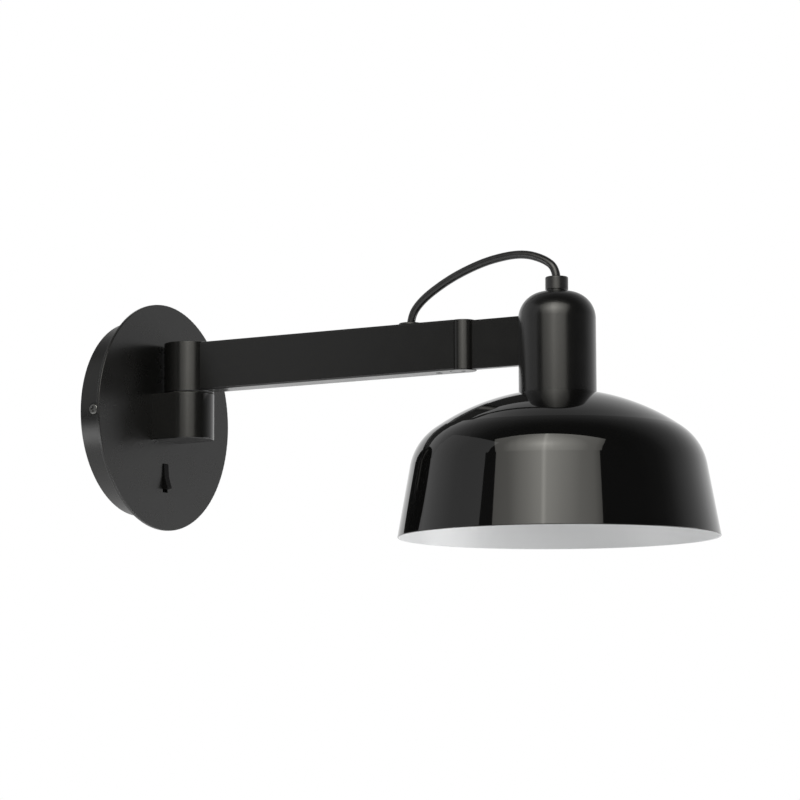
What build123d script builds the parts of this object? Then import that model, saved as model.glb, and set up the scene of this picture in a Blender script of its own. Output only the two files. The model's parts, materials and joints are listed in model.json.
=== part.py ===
from build123d import *
from math import cos, radians, sin, sqrt, tan
import os

# Bedside wall reading lamp. Millimetres. The wall is the plane Y = 0, the lamp reaches towards -Y,
# +Z is up, and the origin is the centre of the canopy's back. At rest the arm and the link point
# straight out from the wall.

# ---- clearances ----
slide_gap = 0.05          # between flat faces that turn on each other
turn_gap = 0.05           # radial, round a shaft that turns
barrel_gap = 0.15         # radial, between the elbow barrel and its seat
fit_gap = 0.1             # between a part and the pocket that holds it
thread_gap = 0.02         # radial, between a thread and its hole

# ---- canopy ----
disc_diameter = 150.0
disc_thickness = 2.0
disc_edge_round = 0.4
cup_diameter = 129.0
cup_depth = 20.2
cup_wall = 1.5
strap_width = 24.0
strap_thickness = 1.5
strap_tab_depth = 16.0
strap_cable_hole = 16.0
wall_hole_spacing = 80.0
wall_hole_diameter = 5.0
side_screw_depth = 10.9   # from the wall to the side screws
side_screw_recess = 8.6
side_screw_recess_depth = 0.5
small_thread = 4.0        # M4, used on the canopy and the arm
small_head = 6.8
small_head_height = 2.0
earth_screw_x = 24.0

# ---- mains parts in the canopy ----
flex_diameter = 5.2
flex_bend = 7.0               # corner of the flex in the arm, up to the cord bush
flex_turn = 8.0               # corner of the flex above the pivot tube, into the arm
flex_straight = 0.65          # straight run from that first corner to the cord's start
terminal_width = 30.0
terminal_height = 17.0
terminal_depth = 11.0
terminal_z = 34.0
terminal_pole_spacing = 9.0
terminal_pole_bore = 3.4
terminal_screw = 3.0
switch_z = -40.3
switch_length = 26.0
switch_width = 12.0
switch_depth = 13.0
rocker_length = 16.5
rocker_width = 5.0
rocker_tilt = 10.0        # each way from level, in degrees
rocker_proud = 2.3        # of the disc's face when level
rocker_valley = 0.9       # how far the middle of its face dips
rocker_pivot_depth = 1.6  # behind the cup's front wall
rocker_pin = 2.0
rocker_pin_reach = 1.6
blade_length = 5.0

# ---- wall bracket and knuckle ----
knuckle_diameter = 33.0
knuckle_axis_reach = 18.8     # from the disc's face to the vertical axis
bracket_height = 30.5
bracket_bottom = -16.2
edge_round = 0.6
cable_way = 10.0
cable_way_z = -6.0
bracket_screw_spacing = 20.0
bracket_screw_z = 4.0
bracket_screw_length = 12.0
pivot_thread = 10.0
pivot_bore = 7.4
pivot_engagement = 13.0       # how far the pivot tube goes down into the bracket
friction_washer_thickness = 0.4
friction_washer_diameter = 30.0
thrust_washer_thickness = 1.2
thrust_washer_diameter = 22.0
nut_thickness = 5.0
nut_across_corners = 16.0
nut_proud_thread = 1.5
knuckle_floor = 5.0
knuckle_cavity = 26.0
knuckle_cap_diameter = 29.0
knuckle_cap_thickness = 2.0

# ---- arm ----
arm_length = 208.0            # from the wall axis to the elbow axis
arm_width = 17.0
arm_height = 32.0
arm_wall = 1.5
arm_corner = 1.2
arm_lift = 0.6                # underside of the arm above the knuckle's underside
arm_drop = 0.4                # top of the arm below the knuckle's top
spigot_length = 14.0
window_width = 9.0
window_height = 22.0
grommet_clear = 2.4           # from the end fitting's plug to the cord bush's flange
grommet_flange = 15.0
grommet_neck = 10.0
grommet_rise = 1.2
grommet_depth = 4.0

# ---- elbow and link ----
elbow_range = 55.0            # swing each way, in degrees
cap_showing = 6.5
cap_plug_length = 22.0
cap_lip_setback = 2.2         # how far the cap's cheeks stop short of the elbow axis
barrel_step = 0.2             # how far the barrel lies inside the arm's faces
tongue_width = 5.0
tongue_height = 14.0
elbow_pin_diameter = 3.0
elbow_pin_hold = 6.0          # length of the pin in the barrel above the tongue
elbow_washer_thickness = 0.5
link_length = 66.5            # from the elbow axis to the lampholder's axis
link_thickness = 6.0
link_height = 31.0
link_screw = 3.0
link_screw_length = 9.0
link_screw_spacing = 18.0
link_screw_head = 5.5
link_screw_head_height = 1.6

# ---- head ----
cover_diameter = 48.0
cover_top = 60.2
cover_round = 17.0
cover_wall = 1.5
gland_diameter = 14.2
gland_height = 9.3
gland_neck = 12.0
gland_neck_height = 1.4
gland_stem = 10.0
gland_stem_length = 16.0
gland_nut_thickness = 3.0
shade_apex = -1.0             # height where the dome would peak
shade_dome_radius = 133.5
shade_shoulder = 35.0
shade_flare = 10.3            # degrees off vertical
shade_rim_diameter = 198.6
shade_rim = -92.0
shade_wall = 1.2
shade_land_diameter = 44.0
holder_skirt = 38.4
holder_skirt_length = 20.0
holder_flange = 43.0
holder_flange_thickness = 4.0
holder_body = 40.0
holder_body_top = 34.0
holder_neck = 16.0
holder_neck_top = 52.0
holder_floor = 7.0            # height of the floor the bulb's contact faces
holder_floor_thickness = 5.0
holder_cavity = 34.0
ring_height = 8.0
ring_lip = 1.5
contact_diameter = 8.0
contact_thickness = 1.0
bulb_cap_diameter = 26.2
bulb_cap_height = 24.0
bulb_tip_diameter = 9.0
bulb_tip_height = 2.0
shell_wall = 0.6
shell_length = 20.0
globe_diameter = 45.0
globe_wall = 1.2
globe_neck = 27.0
bulb_length = 76.0

# ---- the free cord's route (Y, Z), from the bush on the arm to the cord grip ----
cord_route = [
    (-210.6, 43.5), (-210.6, 52.6), (-218.8, 62.8), (-236.0, 73.0), (-252.5, 79.8),
    (-270.5, 84.8), (-291.5, 86.6), (-307.0, 81.6), (-315.5, 74.5), (-315.5, 66.0),
]

# ---- places worked out from the sizes ----
cup_front = -(cup_depth - cup_wall)           # inner face of the cup's front wall
disc_back = -cup_depth
disc_front = disc_back - disc_thickness
wall_axis = disc_front - knuckle_axis_reach
elbow_axis = wall_axis - arm_length
head_axis = elbow_axis - link_length
bracket_top = bracket_bottom + bracket_height
washer_top = bracket_top + friction_washer_thickness
knuckle_bottom = washer_top + slide_gap
floor_top = knuckle_bottom + knuckle_floor
arm_bottom = knuckle_bottom + arm_lift
arm_top = arm_bottom + arm_height
knuckle_top = arm_top + arm_drop
knuckle_height = knuckle_top - knuckle_bottom
arm_middle = arm_bottom + arm_height / 2
thrust_bottom = floor_top + slide_gap
nut_bottom = thrust_bottom + thrust_washer_thickness
pivot_low = bracket_top - pivot_engagement
pivot_high = nut_bottom + nut_thickness + nut_proud_thread
seam = elbow_axis + cap_showing               # Y of the arm tube's outer end
grub_y = seam + cap_plug_length / 2
grommet_y = seam + cap_plug_length + grommet_clear + grommet_flange / 2
barrel_radius = arm_width / 2 - barrel_step
seat_radius = barrel_radius + barrel_gap
dome_centre = shade_apex - shade_dome_radius


def dome_height(radius, inset=0.0):
    """Z of the shade's dome at a radius, for the outside or for a face inset into the sheet."""
    return dome_centre + sqrt((shade_dome_radius - inset) ** 2 - radius**2)


land_z = dome_height(shade_land_diameter / 2)

OUT = Plane.XZ                                # sketches on it extrude away from the wall


def out_plane(y):
    """A plane parallel to the wall at Y, facing away from the wall."""
    return Plane(origin=(0, y, 0), x_dir=(1, 0, 0), z_dir=(0, -1, 0))


def up_plane(y, z):
    """A level plane with its origin on a vertical axis of the lamp."""
    return Plane(origin=(0, y, z), x_dir=(1, 0, 0), z_dir=(0, 0, 1))


def pan_screw(thread, length, head, head_height):
    """A pan head cross-recess screw: its head sits on z = 0 and rises along +Z."""
    recess = head * 0.55
    with BuildPart() as screw:
        with BuildSketch():
            Circle(head / 2)
        extrude(amount=head_height)
        fillet(screw.edges().group_by(Axis.Z)[-1], head_height * 0.45)
        with BuildSketch():
            Circle(thread / 2 - thread_gap)
        extrude(amount=-length)
        with BuildSketch(Plane.XY.offset(head_height)):
            Rectangle(recess, recess * 0.24)
            Rectangle(recess * 0.24, recess)
        extrude(amount=-head_height * 0.6, mode=Mode.SUBTRACT)
    return screw.part


def hex_nut(corners, bore, thickness):
    """A plain hexagon nut standing on z = 0."""
    with BuildPart() as nut:
        with BuildSketch():
            RegularPolygon(corners / 2, 6)
            Circle(bore / 2, mode=Mode.SUBTRACT)
        extrude(amount=thickness)
    return nut.part


def ring(outer, bore, thickness):
    """A flat washer standing on z = 0."""
    with BuildPart() as washer:
        with BuildSketch():
            Circle(outer / 2)
            Circle(bore / 2, mode=Mode.SUBTRACT)
        extrude(amount=thickness)
    return washer.part


def corner_radii(points):
    """The largest arc that each corner of a route allows, 0.45 of its shorter run."""
    radii = []
    for before, corner, after in zip(points, points[1:], points[2:]):
        run_in = Vector(*corner) - Vector(*before)
        run_out = Vector(*after) - Vector(*corner)
        half_turn = radians(run_in.get_angle(run_out)) / 2
        radii.append(0.45 * min(run_in.length, run_out.length) / tan(half_turn))
    return radii


def flex_tube(points, radii):
    """A round tube of the flex's diameter along straight runs joined by tangent arcs."""
    with BuildPart() as tube:
        with BuildLine() as path:
            FilletPolyline(*points, radius=radii)
        with BuildSketch(path.line ^ 0):
            Circle(flex_diameter / 2)
        sweep(path=path.line)
    return tube.part


os.makedirs("parts", exist_ok=True)


def keep(piece, name):
    """Label one finished piece and write its STEP file."""
    piece.label = name
    export_step(piece, f"parts/{name}.step")


# ================= canopy =================
cup_radius = cup_diameter / 2
cup_inside = cup_radius - cup_wall
tab_face = sqrt(cup_inside**2 - (strap_width / 2) ** 2) - fit_gap
slot_length = rocker_length + 2 * sin(radians(rocker_tilt)) * (rocker_proud + disc_thickness) + 1.2
slot_width = rocker_width + 6 * fit_gap
bracket_screw_places = [(side * bracket_screw_spacing / 2, bracket_screw_z) for side in (-1, 1)]


def panel_holes():
    """The openings shared by the cup's front wall and the disc, as a sketch facing outwards."""
    with BuildSketch(mode=Mode.PRIVATE) as holes:
        with Locations((0, cable_way_z)):
            Circle(cable_way / 2)
        with Locations(*bracket_screw_places):
            Circle(small_thread / 2 + fit_gap)
        with Locations((0, switch_z)):
            Rectangle(slot_width, slot_length)
    return holes.sketch


with BuildPart() as mounting_strap:
    with BuildSketch(OUT):
        Rectangle(2 * tab_face, strap_width)
    extrude(amount=strap_tab_depth)
    with BuildSketch(out_plane(-strap_thickness)):
        Rectangle(2 * (tab_face - strap_thickness), strap_width)
    extrude(amount=strap_tab_depth, mode=Mode.SUBTRACT)
    bends = mounting_strap.edges().filter_by(Axis.Z)
    fillet(bends.filter_by_position(Axis.Y, -0.01, 0.01), 2 * strap_thickness)
    bends = mounting_strap.edges().filter_by(Axis.Z)
    fillet(bends.filter_by_position(Axis.Y, -strap_thickness - 0.01, -strap_thickness + 0.01), strap_thickness)
    with BuildSketch(OUT):
        Circle(strap_cable_hole / 2)
        with Locations((-wall_hole_spacing / 2, 0), (wall_hole_spacing / 2, 0)):
            Circle(wall_hole_diameter / 2)
        with Locations((earth_screw_x, 0)):
            Circle(small_thread / 2)
    extrude(amount=strap_thickness, mode=Mode.SUBTRACT)
    with BuildSketch(Plane.YZ):
        with Locations((-side_screw_depth, 0)):
            Circle(small_thread / 2)
    extrude(amount=tab_face, both=True, mode=Mode.SUBTRACT)

with BuildPart() as earth_screw:
    with Locations(Plane(origin=(earth_screw_x, -strap_thickness, 0), x_dir=(1, 0, 0), z_dir=(0, -1, 0))):
        add(pan_screw(small_thread, strap_thickness, small_head, small_head_height))

with BuildPart() as wall_cup:
    with BuildSketch(OUT):
        Circle(cup_radius)
    extrude(amount=cup_depth)
    with BuildSketch(OUT):
        Circle(cup_inside)
    extrude(amount=-cup_front, mode=Mode.SUBTRACT)
    with BuildSketch(out_plane(cup_front)):
        add(panel_holes())
    extrude(amount=cup_wall, mode=Mode.SUBTRACT)
    with BuildSketch(Plane.YZ):
        with Locations((-side_screw_depth, 0)):
            Circle(small_thread / 2 + 2 * fit_gap)
    extrude(amount=cup_radius, both=True, mode=Mode.SUBTRACT)
    for side in (-1, 1):
        with BuildSketch(Plane.YZ.offset(side * (cup_radius - side_screw_recess_depth))):
            with Locations((-side_screw_depth, 0)):
                Circle(side_screw_recess / 2)
        extrude(amount=side * cup_wall, mode=Mode.SUBTRACT)

with BuildPart() as side_screws:
    seat = cup_radius - side_screw_recess_depth
    for side in (-1, 1):
        outwards = Plane(origin=(side * seat, -side_screw_depth, 0), x_dir=(0, 1, 0), z_dir=(side, 0, 0))
        with Locations(outwards):
            add(pan_screw(small_thread, seat - tab_face + 2 * strap_thickness, small_head, small_head_height))

with BuildPart() as front_disc:
    with BuildSketch(out_plane(disc_back)):
        Circle(disc_diameter / 2)
    extrude(amount=disc_thickness)
    fillet(front_disc.edges(), disc_edge_round)
    with BuildSketch(out_plane(disc_back)):
        add(panel_holes())
    extrude(amount=disc_thickness, mode=Mode.SUBTRACT)

# ================= mains parts in the canopy =================
block_back = cup_front + terminal_depth
block_middle = cup_front + terminal_depth / 2
pole_places = [-terminal_pole_spacing, 0, terminal_pole_spacing]

with BuildPart() as terminal_block:
    with BuildSketch(out_plane(block_back)):
        with Locations((0, terminal_z)):
            RectangleRounded(terminal_width, terminal_height, 1.5)
    extrude(amount=terminal_depth)
    with BuildSketch(Plane.XY.offset(terminal_z)):
        with Locations(*[(x, block_middle) for x in pole_places]):
            Circle(terminal_pole_bore / 2)
    extrude(amount=terminal_height, both=True, mode=Mode.SUBTRACT)
    with BuildSketch(out_plane(block_back)):
        with Locations(*[(x, terminal_z) for x in pole_places]):
            Circle(terminal_screw / 2)
    extrude(amount=terminal_depth / 2, mode=Mode.SUBTRACT)

with BuildPart() as terminal_screws:
    screw_length = terminal_depth / 2 - terminal_pole_bore / 2 + 0.5
    with BuildSketch(out_plane(block_back + 0.5)):
        with Locations(*[(x, terminal_z) for x in pole_places]):
            Circle(terminal_screw / 2 - thread_gap)
    extrude(amount=screw_length)

flex_meeting = (pivot_low + pivot_high) / 2   # where the canopy's flex meets the arm's, in the pivot
canopy_flex_points = [
    (0, block_middle, terminal_z - terminal_height / 2),
    (0, block_middle, cable_way_z),
    (0, wall_axis, cable_way_z),
    (0, wall_axis, flex_meeting),
]
canopy_flex = flex_tube(canopy_flex_points, [8.0, 5.0])

# the rocker switch is held behind the cup's front wall
rocker_pivot = cup_front + rocker_pivot_depth

with BuildPart() as switch_body:
    with BuildSketch(out_plane(cup_front + switch_depth)):
        with Locations((0, switch_z)):
            RectangleRounded(switch_width, switch_length, 1.0)
    extrude(amount=switch_depth)
    with BuildSketch(out_plane(cup_front + switch_depth - 2 * cup_wall)):
        with Locations((0, switch_z)):
            Rectangle(slot_width, slot_length)
    extrude(amount=switch_depth, mode=Mode.SUBTRACT)
    with BuildSketch(Plane.YZ):
        with Locations((rocker_pivot, switch_z)):
            Circle(rocker_pin / 2 + turn_gap)
    extrude(amount=rocker_width / 2 + rocker_pin_reach + fit_gap, both=True, mode=Mode.SUBTRACT)

with BuildPart() as switch_blades:
    for z in (switch_z - switch_length / 4, switch_z + switch_length / 4):
        with BuildSketch(out_plane(cup_front + switch_depth)):
            with Locations((0, z)):
                Rectangle(4.8, 0.8)
        extrude(amount=-blade_length)

with BuildPart() as switch_rocker:
    face = rocker_pivot - disc_front + rocker_proud
    half = rocker_length / 2
    tilt = radians(rocker_tilt)
    tilted = Plane(origin=(0, rocker_pivot, switch_z), x_dir=(0, -cos(tilt), sin(tilt)), z_dir=(-1, 0, 0))
    with BuildSketch(tilted) as rocker_section:
        with BuildLine():
            Polyline(
                (0, -half * 0.4), (face * 0.45, -half), (face, -half), (face - rocker_valley, 0),
                (face, half), (face * 0.45, half), (0, half * 0.4), (-rocker_pin, 0), (0, -half * 0.4),
            )
        make_face()
        fillet(rocker_section.vertices().sort_by(Axis.X)[-2:], 0.6)
    extrude(amount=rocker_width / 2, both=True)
    with BuildSketch(Plane.YZ):
        with Locations((rocker_pivot, switch_z)):
            Circle(rocker_pin / 2)
    extrude(amount=rocker_width / 2 + rocker_pin_reach, both=True)

# ================= wall bracket and pivot =================
bracket_length = disc_front - wall_axis

with BuildPart() as wall_bracket:
    with BuildSketch(Plane.XY.offset(bracket_bottom)):
        with Locations((0, wall_axis)):
            Circle(knuckle_diameter / 2)
        with Locations((0, (wall_axis + disc_front) / 2)):
            Rectangle(knuckle_diameter, bracket_length)
    extrude(amount=bracket_height)
    rims = wall_bracket.faces().filter_by(Axis.Z).edges()
    fillet(rims.filter_by_position(Axis.Y, wall_axis - knuckle_diameter, disc_front - 0.01), edge_round)
    with BuildSketch(up_plane(wall_axis, bracket_top)):
        Circle(pivot_thread / 2 + thread_gap)
    extrude(amount=-pivot_engagement, mode=Mode.SUBTRACT)
    with BuildSketch(up_plane(wall_axis, pivot_low)):
        Circle(pivot_thread / 2 - 2 * fit_gap)
    extrude(amount=cable_way_z - cable_way / 2 - pivot_low, mode=Mode.SUBTRACT)
    with BuildSketch(out_plane(disc_front)):
        with Locations((0, cable_way_z)):
            Circle(cable_way / 2)
    extrude(amount=bracket_length + cable_way / 2, mode=Mode.SUBTRACT)
    with BuildSketch(out_plane(disc_front)):
        with Locations(*bracket_screw_places):
            Circle(small_thread / 2)
    extrude(amount=bracket_screw_length, mode=Mode.SUBTRACT)

with BuildPart() as bracket_screws:
    for side in (-1, 1):
        seat_place = (side * bracket_screw_spacing / 2, cup_front, bracket_screw_z)
        with Locations(Plane(origin=seat_place, x_dir=(1, 0, 0), z_dir=(0, 1, 0))):
            add(pan_screw(small_thread, bracket_screw_length, small_head, small_head_height))

with BuildPart() as pivot_tube:
    with Locations(up_plane(wall_axis, pivot_low)):
        add(ring(pivot_thread, pivot_bore, pivot_high - pivot_low))

with BuildPart() as friction_washer:
    with Locations(up_plane(wall_axis, bracket_top)):
        add(ring(friction_washer_diameter, pivot_thread + 2 * fit_gap, friction_washer_thickness))

with BuildPart() as thrust_washer:
    with Locations(up_plane(wall_axis, thrust_bottom)):
        add(ring(thrust_washer_diameter, pivot_thread + 2 * fit_gap, thrust_washer_thickness))

with BuildPart() as pivot_nut:
    with Locations(up_plane(wall_axis, nut_bottom)):
        add(hex_nut(nut_across_corners, pivot_thread + 2 * thread_gap, nut_thickness))

# ================= arm =================
knuckle_radius = knuckle_diameter / 2
tube_inside = (arm_width - 2 * arm_wall, arm_height - 2 * arm_wall)
spigot_end = wall_axis - knuckle_radius - spigot_length

with BuildPart() as arm_knuckle:
    with BuildSketch(up_plane(wall_axis, knuckle_bottom)):
        Circle(knuckle_radius)
    extrude(amount=knuckle_height)
    fillet(arm_knuckle.edges().filter_by(GeomType.CIRCLE), edge_round)
    with BuildSketch(out_plane(wall_axis)):
        with Locations((0, arm_middle)):
            RectangleRounded(tube_inside[0] - 2 * fit_gap, tube_inside[1] - 2 * fit_gap, 1.0)
    extrude(amount=wall_axis - spigot_end)
    with BuildSketch(up_plane(wall_axis, floor_top)):
        Circle(knuckle_cavity / 2)
    extrude(amount=knuckle_height - knuckle_floor, mode=Mode.SUBTRACT)
    with BuildSketch(up_plane(wall_axis, knuckle_top - knuckle_cap_thickness)):
        Circle(knuckle_cap_diameter / 2)
    extrude(amount=knuckle_cap_thickness, mode=Mode.SUBTRACT)
    with BuildSketch(up_plane(wall_axis, knuckle_bottom)):
        Circle(pivot_thread / 2 + turn_gap)
    extrude(amount=knuckle_floor, mode=Mode.SUBTRACT)
    with BuildSketch(out_plane(wall_axis)):
        with Locations((0, arm_middle)):
            Rectangle(window_width, window_height)
    extrude(amount=wall_axis - spigot_end, mode=Mode.SUBTRACT)

with BuildPart() as knuckle_cap:
    with BuildSketch(up_plane(wall_axis, knuckle_top - knuckle_cap_thickness)):
        Circle(knuckle_cap_diameter / 2 - thread_gap)
    extrude(amount=knuckle_cap_thickness)

with BuildPart() as arm_tube:
    with BuildSketch(out_plane(wall_axis)):
        with Locations((0, arm_middle)):
            RectangleRounded(arm_width, arm_height, arm_corner)
            RectangleRounded(*tube_inside, arm_corner / 2, mode=Mode.SUBTRACT)
    extrude(amount=wall_axis - seam)
    with BuildSketch(up_plane(wall_axis, arm_bottom)):
        Circle(knuckle_radius + thread_gap)
    extrude(amount=arm_height, mode=Mode.SUBTRACT)
    with BuildSketch(up_plane(elbow_axis, arm_bottom)):
        Circle(seat_radius)
    extrude(amount=arm_height, mode=Mode.SUBTRACT)
    with BuildSketch(up_plane(grommet_y, arm_middle)):
        Circle(grommet_neck / 2 + fit_gap)
    extrude(amount=arm_height / 2, mode=Mode.SUBTRACT)
    with BuildSketch(up_plane(grub_y, arm_middle)):
        Circle(small_thread / 2 + fit_gap)
    extrude(amount=-arm_height / 2, mode=Mode.SUBTRACT)

with BuildPart() as cord_grommet:
    with BuildSketch(up_plane(grommet_y, arm_top)):
        Circle(grommet_flange / 2)
    extrude(amount=grommet_rise)
    fillet(cord_grommet.edges().group_by(Axis.Z)[-1], 0.7)
    with BuildSketch(up_plane(grommet_y, arm_top)):
        Circle(grommet_neck / 2)
    extrude(amount=-grommet_depth)
    with BuildSketch(up_plane(grommet_y, arm_top - arm_wall)):
        Circle(grommet_neck / 2 + 1.0)
    extrude(amount=-(grommet_depth - arm_wall))
    with BuildSketch(up_plane(grommet_y, arm_top - grommet_depth)):
        Circle(flex_diameter / 2 + 4 * fit_gap)
    extrude(amount=grommet_depth + grommet_rise, mode=Mode.SUBTRACT)

# ================= elbow =================
lip_y = elbow_axis + cap_lip_setback
tongue_bottom = arm_middle - tongue_height / 2
tongue_top = arm_middle + tongue_height / 2
slot_bottom = tongue_bottom - elbow_washer_thickness - slide_gap
slot_top = tongue_top + elbow_washer_thickness + slide_gap
slot_apex = (tongue_width / 2 + fit_gap) / sin(radians(elbow_range))
slot_reach = arm_width

with BuildPart() as elbow_cap:
    with BuildSketch(out_plane(seam + cap_plug_length)):
        with Locations((0, arm_middle)):
            RectangleRounded(tube_inside[0] - 2 * fit_gap, tube_inside[1] - 2 * fit_gap, arm_corner / 2)
    extrude(amount=cap_plug_length)
    with BuildSketch(out_plane(seam)):
        with Locations((0, arm_middle)):
            RectangleRounded(arm_width, arm_height, arm_corner)
    extrude(amount=seam - lip_y)
    with BuildSketch(up_plane(elbow_axis, arm_bottom)):
        Circle(seat_radius)
    extrude(amount=arm_height, mode=Mode.SUBTRACT)
    with BuildSketch(up_plane(elbow_axis, tongue_bottom)):
        Circle(tongue_width / 2)
        with Locations((0, cap_showing)):
            Rectangle(tongue_width, 2 * cap_showing)
    extrude(amount=tongue_height)
    with BuildSketch(up_plane(elbow_axis, tongue_bottom)):
        Circle(elbow_pin_diameter / 2 + turn_gap)
    extrude(amount=tongue_height, mode=Mode.SUBTRACT)
    with BuildSketch(up_plane(grub_y, arm_middle)):
        Circle(small_thread / 2)
    extrude(amount=-arm_height / 2, mode=Mode.SUBTRACT)

with BuildPart() as grub_screw:
    grub_low = arm_bottom + arm_wall
    with BuildSketch(up_plane(grub_y, grub_low)):
        Circle(small_thread / 2 - thread_gap)
    extrude(amount=6.0)
    with BuildSketch(up_plane(grub_y, grub_low)):
        RegularPolygon(1.1, 6)
    extrude(amount=2.0, mode=Mode.SUBTRACT)

with BuildPart() as elbow_pin:
    with BuildSketch(up_plane(elbow_axis, arm_bottom + 0.3)):
        Circle(elbow_pin_diameter / 2)
    extrude(amount=slot_top + elbow_pin_hold - arm_bottom - 0.3)

with BuildPart() as elbow_washers:
    for z in (slot_bottom + slide_gap / 2, tongue_top + slide_gap / 2):
        with Locations(up_plane(elbow_axis, z)):
            add(ring(tongue_width, elbow_pin_diameter + 2 * fit_gap, elbow_washer_thickness))


def cover_outline(radius, top, corner, bottom):
    """Half of the lampholder cover's section, as a sketch with X as the radius and Y as the height."""
    with BuildSketch(mode=Mode.PRIVATE) as section:
        with BuildLine():
            wall = Line((radius, bottom), (radius, top - corner))
            turn = RadiusArc(wall @ 1, (radius - corner, top), -corner)
            Polyline(turn @ 1, (0, top), (0, bottom), (radius, bottom))
        make_face()
    return section.sketch


head_plane = Plane(origin=(0, head_axis, 0), x_dir=(1, 0, 0), z_dir=(0, -1, 0))
head_line = Axis((0, head_axis, 0), (0, 0, 1))
cover_radius = cover_diameter / 2
cover_inside = cover_radius - cover_wall
cover_low = land_z - 2.0
link_screw_places = [arm_middle - link_screw_spacing / 2, arm_middle + link_screw_spacing / 2]
link_screw_seat = head_axis + sqrt(cover_inside**2 - (link_screw_head / 2) ** 2)

with BuildPart() as elbow_link:
    with BuildSketch(up_plane(elbow_axis, arm_bottom)):
        Circle(barrel_radius)
    extrude(amount=arm_height)
    fillet(elbow_link.edges().filter_by(GeomType.CIRCLE), edge_round)
    with BuildSketch(out_plane(elbow_axis)):
        with Locations((0, arm_middle)):
            RectangleRounded(link_thickness, link_height, edge_round)
    extrude(amount=link_length)
    with BuildSketch(up_plane(elbow_axis, slot_bottom)):
        Circle(tongue_width / 2 + fit_gap)
        with BuildLine():
            side_x = slot_reach * tan(radians(elbow_range))
            Polyline(
                (0, -slot_apex), (side_x, slot_reach - slot_apex), (-side_x, slot_reach - slot_apex), (0, -slot_apex)
            )
        make_face()
    extrude(amount=slot_top - slot_bottom, mode=Mode.SUBTRACT)
    with BuildSketch(up_plane(elbow_axis, arm_bottom)):
        Circle(elbow_pin_diameter / 2 + thread_gap)
    extrude(amount=slot_top + elbow_pin_hold - arm_bottom, mode=Mode.SUBTRACT)
    with BuildSketch(head_plane):
        add(cover_outline(cover_radius, cover_top, cover_round, cover_low))
    revolve(axis=head_line, mode=Mode.SUBTRACT)
    with BuildSketch(out_plane(head_axis + cover_inside + link_screw_length)):
        with Locations(*[(0, z) for z in link_screw_places]):
            Circle(link_screw / 2)
    extrude(amount=link_screw_length, mode=Mode.SUBTRACT)

with BuildPart() as link_screws:
    for z in link_screw_places:
        with Locations(Plane(origin=(0, link_screw_seat, z), x_dir=(1, 0, 0), z_dir=(0, -1, 0))):
            add(pan_screw(link_screw, link_screw_length - 0.5, link_screw_head, link_screw_head_height))

# ================= head =================
with BuildPart() as lampholder_cover:
    with BuildSketch(head_plane):
        add(cover_outline(cover_radius, cover_top, cover_round, cover_low))
        add(
            cover_outline(cover_inside, cover_top - cover_wall, cover_round - cover_wall, cover_low),
            mode=Mode.SUBTRACT,
        )
    revolve(axis=head_line)
    with Locations((0, head_axis, dome_centre)):
        Sphere(shade_dome_radius + thread_gap, mode=Mode.SUBTRACT)
    with BuildSketch(up_plane(head_axis, cover_top)):
        Circle(gland_stem / 2 + fit_gap)
    extrude(amount=-2 * cover_wall, mode=Mode.SUBTRACT)
    with BuildSketch(out_plane(head_axis + cover_radius + 1)):
        with Locations(*[(0, z) for z in link_screw_places]):
            Circle(link_screw / 2 + fit_gap)
    extrude(amount=2 * cover_wall, mode=Mode.SUBTRACT)

with BuildPart() as cord_grip:
    with BuildSketch(up_plane(head_axis, cover_top)):
        Circle(gland_neck / 2)
    extrude(amount=gland_neck_height)
    with BuildSketch(up_plane(head_axis, cover_top + gland_neck_height)):
        Circle(gland_diameter / 2)
    extrude(amount=gland_height - gland_neck_height)
    fillet(cord_grip.edges().group_by(Axis.Z)[-1], 0.8)
    with BuildSketch(up_plane(head_axis, cover_top)):
        Circle(gland_stem / 2)
    extrude(amount=-gland_stem_length)
    with BuildSketch(up_plane(head_axis, cover_top - gland_stem_length)):
        Circle(flex_diameter / 2 + fit_gap)
    extrude(amount=gland_stem_length + gland_height, mode=Mode.SUBTRACT)

with BuildPart() as cord_grip_nut:
    with Locations(up_plane(head_axis, cover_top - cover_wall - gland_nut_thickness)):
        add(hex_nut(nut_across_corners, gland_stem + 2 * thread_gap, gland_nut_thickness))

shell_bore = bulb_cap_diameter + 2 * fit_gap
shell_outer = shell_bore + 2 * shell_wall
skirt_bottom = land_z - holder_skirt_length
contact_low = holder_floor - contact_thickness

with BuildPart() as lampholder:
    with BuildSketch(up_plane(head_axis, skirt_bottom)):
        Circle(holder_skirt / 2)
    extrude(amount=holder_skirt_length)
    with BuildSketch(up_plane(head_axis, land_z)):
        Circle(holder_flange / 2)
    extrude(amount=holder_flange_thickness)
    with BuildSketch(up_plane(head_axis, land_z)):
        Circle(holder_body / 2)
    extrude(amount=holder_body_top - land_z)
    fillet(lampholder.edges().group_by(Axis.Z)[-1], 3.0)
    with BuildSketch(up_plane(head_axis, holder_body_top)):
        Circle(holder_neck / 2)
    extrude(amount=holder_neck_top - holder_body_top)
    with BuildSketch(up_plane(head_axis, skirt_bottom)):
        Circle(shell_outer / 2 + thread_gap)
    extrude(amount=holder_floor - skirt_bottom, mode=Mode.SUBTRACT)
    with BuildSketch(up_plane(head_axis, holder_floor + holder_floor_thickness)):
        Circle(holder_cavity / 2)
    extrude(amount=holder_body_top - 2 * cover_wall - holder_floor - holder_floor_thickness, mode=Mode.SUBTRACT)
    with BuildSketch(up_plane(head_axis, holder_neck_top)):
        Circle(gland_stem / 2 + thread_gap)
    extrude(amount=-(gland_stem_length - cover_top + holder_neck_top) - 1, mode=Mode.SUBTRACT)
    with BuildSketch(up_plane(head_axis, holder_neck_top)):
        Circle(flex_diameter / 2 + 4 * fit_gap)
    extrude(amount=holder_floor + holder_floor_thickness - holder_neck_top, mode=Mode.SUBTRACT)

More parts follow.
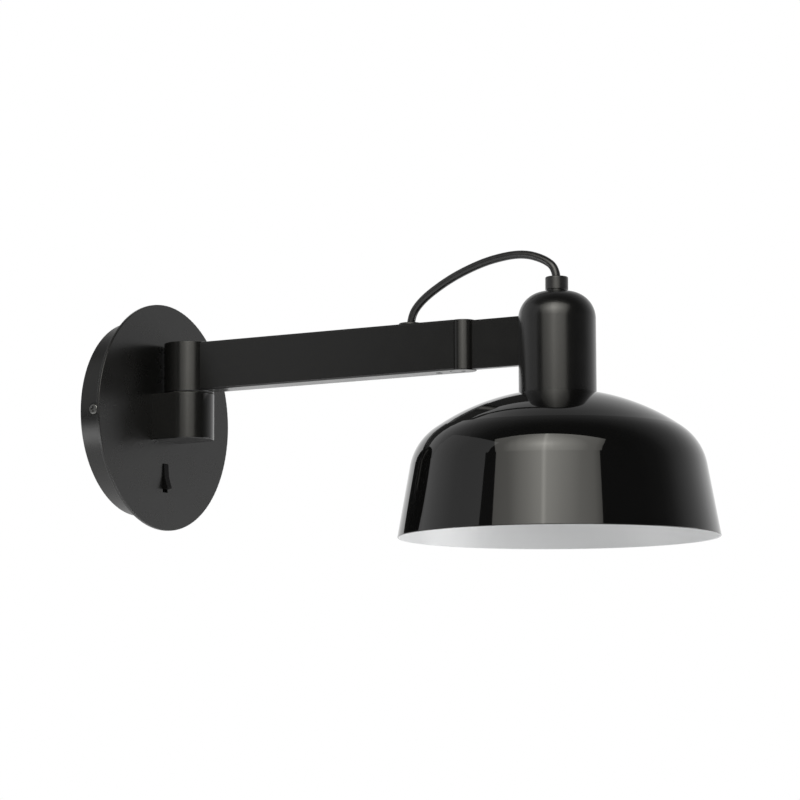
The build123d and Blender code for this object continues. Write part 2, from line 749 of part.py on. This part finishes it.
with BuildPart() as lampholder_shell:
    with Locations(up_plane(head_axis, holder_floor - shell_length)):
        add(ring(shell_outer, shell_bore, shell_length))

with BuildPart() as centre_contact:
    with BuildSketch(up_plane(head_axis, contact_low)):
        Circle(contact_diameter / 2)
    extrude(amount=contact_thickness)

with BuildPart() as bulb_cap:
    with BuildSketch(up_plane(head_axis, contact_low - bulb_tip_height)):
        Circle(bulb_tip_diameter / 2)
    extrude(amount=bulb_tip_height)
    with BuildSketch(up_plane(head_axis, contact_low - bulb_cap_height)):
        Circle(bulb_cap_diameter / 2)
    extrude(amount=bulb_cap_height - bulb_tip_height)
    shoulder = bulb_cap.edges().filter_by(GeomType.CIRCLE).group_by(Axis.Z)[-2]
    chamfer(shoulder.sort_by(SortBy.LENGTH)[-1], 3.0)

with BuildPart() as bulb_globe:
    globe_z = contact_low - bulb_length + globe_diameter / 2
    waist = globe_diameter * 0.3
    neck_top = contact_low - bulb_cap_height
    neck_low = skirt_bottom - 1.0
    for inset, mode in ((0.0, Mode.ADD), (globe_wall, Mode.SUBTRACT)):
        with Locations((0, head_axis, globe_z)):
            Sphere(globe_diameter / 2 - inset, mode=mode)
        with BuildSketch(up_plane(head_axis, globe_z + waist)):
            Circle(sqrt((globe_diameter / 2 - inset) ** 2 - waist**2))
        with BuildSketch(up_plane(head_axis, neck_low)):
            Circle(globe_neck / 2 - inset)
        loft(mode=mode)
        with BuildSketch(up_plane(head_axis, neck_low)):
            Circle(globe_neck / 2 - inset)
        extrude(amount=neck_top - neck_low, mode=mode)

flare = radians(shade_flare)
rim_radius = shade_rim_diameter / 2


def shade_corners(inset):
    """Where the shade's arcs meet, for the outside or for the face inset into the sheet."""
    dome = shade_dome_radius - inset
    shoulder = shade_shoulder - inset
    base = Vector(rim_radius - shade_shoulder * cos(flare), shade_rim - shade_shoulder * sin(flare))
    up = Vector(-sin(flare), cos(flare))
    offset = base - Vector(0, dome_centre)
    along = offset.dot(up)
    reach = -along + sqrt(along**2 - offset.dot(offset) + (shade_dome_radius - shade_shoulder) ** 2)
    centre = base + up * reach
    outward = (centre - Vector(0, dome_centre)).normalized()
    side = Vector(cos(flare), sin(flare))
    between = (outward + side).normalized()
    land_radius = sqrt(dome**2 - (land_z - inset - dome_centre) ** 2)
    crown = Vector(0, dome_centre) + (outward + Vector(land_radius / dome, 1)).normalized() * dome
    foot_radius = rim_radius - inset / cos(flare)
    return {
        "land": (land_radius, land_z - inset),
        "crown": (crown.X, crown.Y),
        "dome_end": tuple(centre + outward * shoulder)[:2],
        "shoulder": tuple(centre + between * shoulder)[:2],
        "wall_top": tuple(centre + side * shoulder)[:2],
        "rim": (foot_radius, shade_rim),
    }


hole_radius = holder_skirt / 2 + fit_gap

with BuildPart() as shade:
    outer = shade_corners(0.0)
    inner = shade_corners(shade_wall)
    with BuildSketch(head_plane):
        with BuildLine():
            for corner, sheet in ((outer, 0.0), (inner, shade_wall)):
                Line((hole_radius, land_z - sheet), corner["land"])
                ThreePointArc(corner["land"], corner["crown"], corner["dome_end"])
                ThreePointArc(corner["dome_end"], corner["shoulder"], corner["wall_top"])
                Line(corner["wall_top"], corner["rim"])
            Line(outer["rim"], inner["rim"])
            Line((hole_radius, land_z), (hole_radius, land_z - shade_wall))
        make_face()
    revolve(axis=head_line)
    fillet(shade.edges().group_by(Axis.Z)[0], shade_wall * 0.35)

with BuildPart() as shade_ring:
    ring_top = land_z - shade_wall
    with BuildSketch(up_plane(head_axis, ring_top)):
        Circle(holder_flange / 2)
    extrude(amount=-ring_lip)
    with BuildSketch(up_plane(head_axis, ring_top)):
        Circle(holder_flange / 2 - 0.6)
    extrude(amount=-ring_height)
    fillet(shade_ring.edges().group_by(Axis.Z)[0], 0.5)
    with BuildSketch(up_plane(head_axis, ring_top)):
        Circle(holder_skirt / 2 + thread_gap)
    extrude(amount=-ring_height, mode=Mode.SUBTRACT)

# ================= flex in the arm and head, and the free cord =================
flex_level = cord_route[0][1] - flex_bend - flex_straight    # the flex's height inside the arm
cord_points = [(0, y, z) for y, z in cord_route]
cord_radii = corner_radii(cord_points)
cord = flex_tube(cord_points, cord_radii)
print("cord corner radii, mm:", [round(radius, 1) for radius in cord_radii])

arm_flex_points = [
    (0, wall_axis, flex_meeting),
    (0, wall_axis, flex_level),
    (0, grommet_y, flex_level),
    (0, grommet_y, cord_route[0][1]),
]
arm_flex = flex_tube(arm_flex_points, [flex_turn, flex_bend])

with BuildPart() as head_flex:
    with BuildSketch(up_plane(head_axis, holder_floor + holder_floor_thickness)):
        Circle(flex_diameter / 2)
    extrude(amount=cord_route[-1][1] - holder_floor - holder_floor_thickness)

keep(mounting_strap.part, "mounting_strap")
keep(earth_screw.part, "earth_screw")
keep(wall_cup.part, "wall_cup")
keep(side_screws.part, "side_screws")
keep(front_disc.part, "front_disc")
keep(terminal_block.part, "terminal_block")
keep(terminal_screws.part, "terminal_screws")
keep(canopy_flex, "canopy_flex")
keep(switch_body.part, "switch_body")
keep(switch_blades.part, "switch_blades")
keep(switch_rocker.part, "switch_rocker")
keep(wall_bracket.part, "wall_bracket")
keep(bracket_screws.part, "bracket_screws")
keep(pivot_tube.part, "pivot_tube")
keep(friction_washer.part, "friction_washer")
keep(thrust_washer.part, "thrust_washer")
keep(pivot_nut.part, "pivot_nut")
keep(arm_knuckle.part, "arm_knuckle")
keep(knuckle_cap.part, "knuckle_cap")
keep(arm_tube.part, "arm_tube")
keep(cord_grommet.part, "cord_grommet")
keep(elbow_cap.part, "elbow_cap")
keep(grub_screw.part, "grub_screw")
keep(arm_flex, "arm_flex")
keep(cord, "cord")
keep(elbow_pin.part, "elbow_pin")
keep(elbow_washers.part, "elbow_washers")
keep(elbow_link.part, "elbow_link")
keep(link_screws.part, "link_screws")
keep(lampholder_cover.part, "lampholder_cover")
keep(cord_grip.part, "cord_grip")
keep(cord_grip_nut.part, "cord_grip_nut")
keep(head_flex.part, "head_flex")
keep(lampholder.part, "lampholder")
keep(lampholder_shell.part, "lampholder_shell")
keep(centre_contact.part, "centre_contact")
keep(shade_ring.part, "shade_ring")
keep(shade.part, "shade")
keep(bulb_cap.part, "bulb_cap")
keep(bulb_globe.part, "bulb_globe")
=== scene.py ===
import json
from math import cos, pi, radians, sin

import bpy
from mathutils import Matrix, Vector


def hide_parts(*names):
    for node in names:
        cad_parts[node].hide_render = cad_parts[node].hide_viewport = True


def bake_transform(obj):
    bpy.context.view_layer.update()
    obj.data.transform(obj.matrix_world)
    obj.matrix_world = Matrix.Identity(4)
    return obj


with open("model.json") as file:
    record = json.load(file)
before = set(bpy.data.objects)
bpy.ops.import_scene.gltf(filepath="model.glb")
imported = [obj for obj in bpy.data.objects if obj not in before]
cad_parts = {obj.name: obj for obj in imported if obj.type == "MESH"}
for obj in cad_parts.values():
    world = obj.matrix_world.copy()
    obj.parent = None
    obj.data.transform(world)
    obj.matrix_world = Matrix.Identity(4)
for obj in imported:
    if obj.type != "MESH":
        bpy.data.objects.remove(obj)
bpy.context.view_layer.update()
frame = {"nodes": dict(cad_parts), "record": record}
nodes = frame["nodes"]
scene = bpy.context.scene


def toward(azimuth, elevation):
    """The direction of a place seen from the lamp, at these angles in degrees.

    Azimuth 0 is straight out from the wall, -Y, and the angle grows towards +X.
    """
    a, e = radians(azimuth), radians(elevation)
    return Vector((sin(a) * cos(e), -cos(a) * cos(e), sin(e)))


# ---- camera: the photograph's viewing angle, found from the lamp's own edges ----
CAMERA_AZIMUTH = -59.473
CAMERA_ELEVATION = -6.924
CAMERA_ROLL = radians(-0.2)
CAMERA_TARGET = Vector((0.123155, -0.130, 0.017462))
CAMERA_DISTANCE = 2.17368

back = toward(CAMERA_AZIMUTH, CAMERA_ELEVATION)
level = Vector((cos(radians(CAMERA_AZIMUTH)), sin(radians(CAMERA_AZIMUTH)), 0.0))
rise = back.cross(level)
right = level * cos(CAMERA_ROLL) + rise * sin(CAMERA_ROLL)
up = back.cross(right)
camera_data = bpy.data.cameras.new("camera")
camera_data.sensor_width = 36.0
camera_data.lens = 144.0
camera_data.clip_start = 0.05
camera_data.clip_end = 50.0
camera = bpy.data.objects.new("camera", camera_data)
camera_axes = Matrix((right, up, back)).transposed().to_4x4()
camera.matrix_world = Matrix.Translation(CAMERA_TARGET + back * CAMERA_DISTANCE) @ camera_axes
scene.collection.objects.link(camera)
scene.camera = camera
scene.view_settings.view_transform = "Standard"

# ---- the free cord, from the bush on the arm to the grip on the head ----
CORD = [                        # Y and Z of its control points, in the plane X = 0
    (-0.2106, 0.0435),
    (-0.2106, 0.0526),
    (-0.2188, 0.0628),
    (-0.2360, 0.0730),
    (-0.2525, 0.0798),
    (-0.2705, 0.0848),
    (-0.2915, 0.0866),
    (-0.3070, 0.0816),
    (-0.3155, 0.0745),
    (-0.3155, 0.0660),
]
CORD_DIAMETER = 0.0052


def smooth_curve(name, points):
    """A curve without thickness in the plane X = 0, with these control points."""
    data = bpy.data.curves.new(name, "CURVE")
    data.dimensions = "3D"
    spline = data.splines.new("NURBS")
    spline.points.add(len(points) - 1)
    for point, (y, z) in zip(spline.points, points):
        point.co = (0.0, y, z, 1.0)
    spline.order_u = 3
    spline.use_endpoint_u = True
    spline.resolution_u = 24
    curve = bpy.data.objects.new(name, data)
    scene.collection.objects.link(curve)
    return curve


def line_points(curve):
    """The points along a curve that has no thickness yet."""
    bpy.context.view_layer.update()
    line = bpy.data.meshes.new_from_object(curve)
    points = [tuple(vertex.co) for vertex in line.vertices]
    bpy.data.meshes.remove(line)
    return points


def round_tube(curve, name, diameter):
    """A mesh tube along a curve, which takes the curve's place."""
    curve.data.bevel_depth = diameter / 2
    curve.data.bevel_resolution = 6
    curve.data.use_fill_caps = True
    bpy.context.view_layer.update()
    mesh = bpy.data.meshes.new_from_object(curve)
    mesh.name = name
    tube = bpy.data.objects.new(name, mesh)
    scene.collection.objects.link(tube)
    bpy.data.objects.remove(curve)
    for polygon in mesh.polygons:
        polygon.use_smooth = True
    return tube


cord_curve = smooth_curve("cord_loop", CORD)
cord_path = line_points(cord_curve)
cord = round_tube(cord_curve, "cord_loop", CORD_DIAMETER)

# ---- node helpers ----


class Nodes:
    """A node tree, with helpers that add a node. An input is a value or another node's socket."""

    def __init__(self, tree):
        self.tree = tree

    def feed(self, socket, value):
        if isinstance(value, bpy.types.NodeSocket):
            self.tree.links.new(value, socket)
        else:
            socket.default_value = value

    def node(self, kind, *inputs, **settings):
        """A node with its settings and its first inputs."""
        node = self.tree.nodes.new(kind)
        for key, value in settings.items():
            setattr(node, key, value)
        for socket, value in zip(node.inputs, inputs):
            self.feed(socket, value)
        return node

    def math(self, operation, *inputs):
        return self.node("ShaderNodeMath", *inputs, operation=operation).outputs["Value"]

    def vector_math(self, operation, first, second, output="Value"):
        node = self.node("ShaderNodeVectorMath", first, second, operation=operation)
        return node.outputs[output]

    def ramp(self, factor, low, high, start=0.3, end=0.7):
        """A value from low to high as the factor goes from start to end."""
        node = self.node("ShaderNodeMapRange", factor)
        node.inputs["From Min"].default_value = start
        node.inputs["From Max"].default_value = end
        node.inputs["To Min"].default_value = low
        node.inputs["To Max"].default_value = high
        return node.outputs["Result"]

    def levels(self, factor, stops):
        """Levels joined by straight lines, from pairs of place and level."""
        top = max(level for _, level in stops)
        node = self.node("ShaderNodeValToRGB", factor)
        elements = node.color_ramp.elements
        while len(elements) < len(stops):
            elements.new(0.5)
        for element, (place, level) in zip(elements, stops):
            element.position = place
            element.color = (level / top, level / top, level / top, 1.0)
        return self.math("MULTIPLY", node.outputs["Color"], top)

    def either(self, factor, low, high):
        """The low value where the factor is 0 and the high value where it is 1."""
        node = self.node("ShaderNodeMix", factor, data_type="FLOAT")
        self.feed(node.inputs[2], low)
        self.feed(node.inputs[3], high)
        return node.outputs[0]


class Shader(Nodes):
    """A Principled material that starts with an even colour and roughness."""

    def __init__(self, name, base, roughness, metallic=0.0):
        self.material = bpy.data.materials.new(name)
        self.material.use_nodes = True
        self.material.diffuse_color = (*base, 1.0)
        super().__init__(self.material.node_tree)
        self.base = base
        self.even_roughness = roughness
        self.bsdf = self.tree.nodes["Principled BSDF"]
        self.bsdf.inputs["Base Color"].default_value = (*base, 1.0)
        self.bsdf.inputs["Roughness"].default_value = roughness
        self.bsdf.inputs["Metallic"].default_value = metallic
        self.coords = self.node("ShaderNodeTexCoord")

    def noise(self, size, detail=2.0):
        """Noise whose grains are about size metres, in the object's own space."""
        scale = (1.0 / size, 1.0 / size, 1.0 / size)
        mapping = self.node("ShaderNodeMapping", self.coords.outputs["Object"])
        mapping.inputs["Scale"].default_value = scale
        noise = self.node("ShaderNodeTexNoise", mapping.outputs["Vector"])
        noise.inputs["Scale"].default_value = 1.0
        noise.inputs["Detail"].default_value = detail
        noise.inputs["Roughness"].default_value = 0.5
        return noise.outputs["Fac"]

    def mix(self, factor, first, second):
        """A colour between two colours."""
        node = self.node("ShaderNodeMix", factor, data_type="RGBA")
        for slot, colour in (("A", first), ("B", second)):
            socket = next(s for s in node.inputs if s.name == slot and s.type == "RGBA")
            self.feed(socket, (*colour, 1.0) if isinstance(colour, tuple) else colour)
        return next(s for s in node.outputs if s.type == "RGBA")

    def colour(self, socket):
        self.feed(self.bsdf.inputs["Base Color"], socket)

    def roughness(self, socket):
        self.feed(self.bsdf.inputs["Roughness"], socket)

    def vary_colour(self, factor, low, high):
        """The base colour times a value from low to high."""
        darker = tuple(value * low for value in self.base)
        lighter = tuple(min(value * high, 1.0) for value in self.base)
        self.colour(self.mix(factor, darker, lighter))

    def vary_roughness(self, factor, less, more):
        """The roughness from less below its even value to more above it."""
        self.roughness(self.ramp(factor, self.even_roughness - less, self.even_roughness + more))

    def bump(self, pattern, height):
        """A relief of this height in metres."""
        node = self.node("ShaderNodeBump")
        node.inputs["Distance"].default_value = height
        self.feed(node.inputs["Height"], pattern)
        self.feed(self.bsdf.inputs["Normal"], node.outputs["Normal"])


# ---- materials ----
SHADE_AXIS_Y = -0.3155
SHADE_MIDDLE = (0.0, SHADE_AXIS_Y, -0.075)    # a point inside the bowl


def powder_coat(name, base, roughness):
    """Satin powder coat: fine even grain, and faint cloudiness over a few centimetres."""
    shader = Shader(name, base, roughness)
    shader.vary_colour(shader.noise(size=0.035, detail=3.0), low=0.8, high=1.2)
    shader.vary_roughness(shader.noise(size=0.012, detail=4.0), less=0.015, more=0.015)
    shader.bump(shader.noise(size=0.0006), height=0.000003)
    return shader.material


def moulded(name, base, roughness):
    """Moulded plastic with a fine erosion texture."""
    shader = Shader(name, base, roughness)
    cloud = shader.noise(size=0.01, detail=4.0)
    shader.vary_colour(cloud, low=0.88, high=1.1)
    shader.vary_roughness(cloud, less=0.05, more=0.05)
    shader.bump(shader.noise(size=0.0008, detail=3.0), height=0.000008)
    return shader.material


def plated(name, base, roughness):
    """Plated metal: small clouds in its colour, and a fine grain in its gloss."""
    shader = Shader(name, base, roughness, metallic=1.0)
    grain = shader.noise(size=0.0006, detail=3.0)
    shader.vary_colour(shader.noise(size=0.006, detail=4.0), low=0.85, high=1.0)
    shader.vary_roughness(grain, less=0.06, more=0.08)
    shader.bump(grain, height=0.000003)
    return shader.material


def sheath(name, base, roughness):
    """Smooth flexible cord sheath, dulled a little in places."""
    shader = Shader(name, base, roughness)
    shader.vary_colour(shader.noise(size=0.008), low=0.85, high=1.15)
    shader.vary_roughness(shader.noise(size=0.004, detail=4.0), less=0.05, more=0.07)
    shader.bump(shader.noise(size=0.0009), height=0.000003)
    return shader.material


def shade_enamel(name):
    """Gloss black outside and white inside, told apart by which way the sheet faces."""
    shader = Shader(name, (0.006, 0.006, 0.0062), 0.03)
    coords = shader.coords.outputs
    outward = shader.vector_math("SUBTRACT", coords["Object"], SHADE_MIDDLE, output="Vector")
    facing = shader.vector_math("DOT_PRODUCT", coords["Normal"], outward)
    outside = shader.math("GREATER_THAN", facing, 0.0)
    cloud = shader.noise(size=0.03, detail=3.0)
    black = shader.mix(cloud, (0.0018, 0.0018, 0.0018), (0.003, 0.003, 0.003))
    white = shader.mix(cloud, (0.765, 0.772, 0.78), (0.815, 0.822, 0.83))
    shader.colour(shader.mix(outside, white, black))
    shader.roughness(shader.ramp(outside, low=0.38, high=0.035, start=0.0, end=1.0))
    shader.bump(shader.noise(size=0.004, detail=1.0), height=0.0000015)
    return shader.material


def opal_glass(name):
    """Opal lamp glass: milky, glossy, faintly uneven."""
    shader = Shader(name, (0.86, 0.85, 0.82), 0.25)
    shader.bsdf.inputs["Subsurface Weight"].default_value = 0.3
    shader.bsdf.inputs["Subsurface Radius"].default_value = (0.004, 0.004, 0.004)
    shader.colour(shader.mix(shader.noise(size=0.02), (0.84, 0.83, 0.8), (0.9, 0.89, 0.86)))
    return shader.material


# by the record's material slot
MATERIALS = {
    "zinc_steel": plated("zinc_steel", (0.62, 0.62, 0.6), 0.35),
    "screw_black": plated("black_screw", (0.16, 0.16, 0.155), 0.22),
    "black_satin": powder_coat("satin_black", (0.0035, 0.0035, 0.0033), 0.25),
    "black_gloss": shade_enamel("shade_enamel"),
    "black_plastic": moulded("black_plastic", (0.01, 0.01, 0.0102), 0.33),
    "cord_black": sheath("cord_sheath", (0.009, 0.009, 0.0093), 0.3),
    "friction_grey": moulded("friction_washer", (0.3, 0.3, 0.28), 0.5),
    "terminal_white": moulded("terminal_body", (0.8, 0.8, 0.77), 0.45),
    "socket_brass": plated("socket_brass", (0.75, 0.56, 0.27), 0.3),
    "holder_plastic": moulded("holder_plastic", (0.75, 0.75, 0.73), 0.35),
    "bulb_nickel": plated("bulb_nickel", (0.66, 0.65, 0.62), 0.28),
    "bulb_opal": opal_glass("bulb_opal"),
}
for part in frame["record"]["subparts"]:
    node = nodes[part["node"]]
    node.data.materials.clear()
    node.data.materials.append(MATERIALS[part["material_slot"]])

# nodes whose coat differs a little in the photograph from the rest of their slot
satin_plate = powder_coat("satin_black_plate", (0.0045, 0.0045, 0.0043), 0.28)
satin_cover = powder_coat("satin_black_cover", (0.0035, 0.0035, 0.0035), 0.24)
switch_black = moulded("switch_black", (0.003, 0.003, 0.003), 0.45)
switch_bsdf = switch_black.node_tree.nodes["Principled BSDF"]
switch_bsdf.inputs["Specular IOR Level"].default_value = 0.05
nodes["front_disc"].data.materials[0] = satin_plate
nodes["wall_cup"].data.materials[0] = satin_plate
nodes["lampholder_cover"].data.materials[0] = satin_cover
nodes["switch_rocker"].data.materials[0] = switch_black

# ---- the cord's finish, and the CAD cord hidden ----
cord.data.materials.append(MATERIALS["cord_black"])
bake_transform(cord)
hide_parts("cord")

# ---- floor: a pale disc, well below the lamp so that views from below are clear ----
FLOOR_RADIUS = 12.0
FLOOR_Z = -2.0
FLOOR_SIDES = 96
FLOOR_GLOW = 0.45               # seen by the camera and in reflections, and lights nothing

floor_rim = []
for side in range(FLOOR_SIDES):
    turn = radians(360.0 * side / FLOOR_SIDES)
    floor_rim.append((FLOOR_RADIUS * cos(turn), FLOOR_RADIUS * sin(turn), FLOOR_Z))
floor_mesh = bpy.data.meshes.new("floor")
floor_mesh.from_pydata(floor_rim, [], [tuple(range(FLOOR_SIDES))])
floor = bpy.data.objects.new("floor", floor_mesh)
scene.collection.objects.link(floor)
paper = Shader("floor_paper", (0.9, 0.9, 0.9), 0.9)
paper.colour(paper.mix(paper.noise(size=0.4), (0.88, 0.88, 0.88), (0.92, 0.92, 0.92)))
rays = paper.node("ShaderNodeLightPath").outputs
seen = paper.math("ADD", rays["Is Camera Ray"], rays["Is Glossy Ray"])
seen = paper.math("ADD", seen, rays["Is Transmission Ray"])
glow = paper.ramp(seen, low=0.0, high=FLOOR_GLOW, start=0.0, end=1.0)
paper.bsdf.inputs["Emission Color"].default_value = (1.0, 1.0, 1.0, 1.0)
paper.feed(paper.bsdf.inputs["Emission Strength"], glow)
floor_mesh.materials.append(paper.material)

# ---- lights: flat softboxes around the head ----
LIGHTS_FACE = Vector((0.0, SHADE_AXIS_Y, -0.05))
WHITE = (1.0, 1.0, 1.0)
WARM = (1.0, 0.98, 0.91)
FRONT_LEVELS = [
    (0.0, 1.3),
    (0.2, 1.65),
    (0.34, 2.4),
    (0.45, 3.4),
    (0.475, 5.2),
    (0.5, 3.6),
    (0.62, 2.85),
    (0.92, 1.9),
    (1.0, 1.1),
]
PANEL_LEVELS = [(0.0, 0.12), (0.3, 0.26), (0.65, 0.48), (1.0, 0.62)]
HOT_SPOT = (0.47, 0.576, 0.0)   # place across and up the softbox, from 0 to 1
HOT_REACH = 0.38
HOT_LEVEL = 3.8


def softbox(name, azimuth, elevation, distance, width, height, radiance=1.0, tint=WHITE):
    """A flat light facing the head; its radiance is what a mirror would show of it."""
    data = bpy.data.lights.new(name, "AREA")
    data.shape = "RECTANGLE"
    data.size = width
    data.size_y = height
    data.energy = radiance * pi * width * height
    data.color = tint
    light = bpy.data.objects.new(name, data)
    away = toward(azimuth, elevation)
    side = Vector((0, 0, 1)).cross(away).normalized()
    axes = Matrix((side, away.cross(side), away)).transposed().to_4x4()
    light.matrix_world = Matrix.Translation(LIGHTS_FACE + away * distance) @ axes
    scene.collection.objects.link(light)
    return data


def light_levels(data, stops, hot=False):
    """Gives a light its levels from left to right, and a round hot spot on top of them."""
    data.use_nodes = True
    face = Nodes(data.node_tree)
    place = face.node("ShaderNodeNewGeometry").outputs["Parametric"]
    across = face.node("ShaderNodeSeparateXYZ", place).outputs["X"]
    strength = face.levels(across, stops)
    if hot:
        distance = face.vector_math("DISTANCE", place, HOT_SPOT)
        spot = [(0.0, HOT_LEVEL), (HOT_REACH * 0.4, HOT_LEVEL * 0.45), (HOT_REACH, 0.0)]
        strength = face.math("ADD", strength, face.levels(distance, spot))
    face.feed(data.node_tree.nodes["Emission"].inputs["Strength"], strength)


front = softbox(
    "front_softbox", azimuth=-71, elevation=33.8, distance=1.6, width=2.4, height=1.55, tint=WARM
)
light_levels(front, FRONT_LEVELS, hot=True)
panel = softbox(
    "left_panel", azimuth=-150, elevation=25, distance=1.6, width=1.62, height=1.2
)
light_levels(panel, PANEL_LEVELS)
softbox(
    "low_fill", azimuth=30, elevation=-14, distance=2.2, width=1.8, height=0.6, radiance=6.0
)
softbox(
    "low_back_fill", azimuth=-140, elevation=-14, distance=2.2, width=1.2, height=0.5, radiance=2.6
)

# ---- world: white to the camera, and a studio that is pale on one side in reflections ----
PALE_SIDE = toward(120.5, 0.0)
STUDIO_LEVELS = [(0.3, 0.045), (0.425, 0.08), (0.5, 0.16), (0.6, 0.4), (0.73, 0.65), (0.885, 1.0)]
OVERHEAD_LEVEL = 0.25           # share of the studio's level that is left straight above
AMBIENT_SHARE = 0.8             # the studio's share in the light on rough surfaces
AMBIENT_BASE = 0.25             # the even light added to it
BACKGROUND_WHITE = 1.0

world = bpy.data.worlds.new("studio")
scene.world = world
world.use_nodes = True
world.node_tree.nodes.clear()
sky = Nodes(world.node_tree)
direction = sky.node("ShaderNodeTexCoord").outputs["Generated"]
ahead = sky.vector_math("DOT_PRODUCT", direction, PALE_SIDE)
studio = sky.levels(sky.math("MULTIPLY_ADD", ahead, 0.5, 0.5), STUDIO_LEVELS)
height = sky.node("ShaderNodeSeparateXYZ", direction).outputs["Z"]
fade = sky.ramp(height, low=1.0, high=OVERHEAD_LEVEL, start=0.17, end=1.0)
mirrored = sky.math("MULTIPLY", studio, fade)
ambient = sky.math("MULTIPLY_ADD", studio, AMBIENT_SHARE, AMBIENT_BASE)
rays = sky.node("ShaderNodeLightPath").outputs
strength = sky.either(rays["Is Glossy Ray"], ambient, mirrored)
strength = sky.either(rays["Is Transmission Ray"], strength, BACKGROUND_WHITE)
strength = sky.either(rays["Is Camera Ray"], strength, BACKGROUND_WHITE)
background = sky.node("ShaderNodeBackground", (1.0, 1.0, 1.0, 1.0), strength)
sky.node("ShaderNodeOutputWorld", background.outputs["Background"])
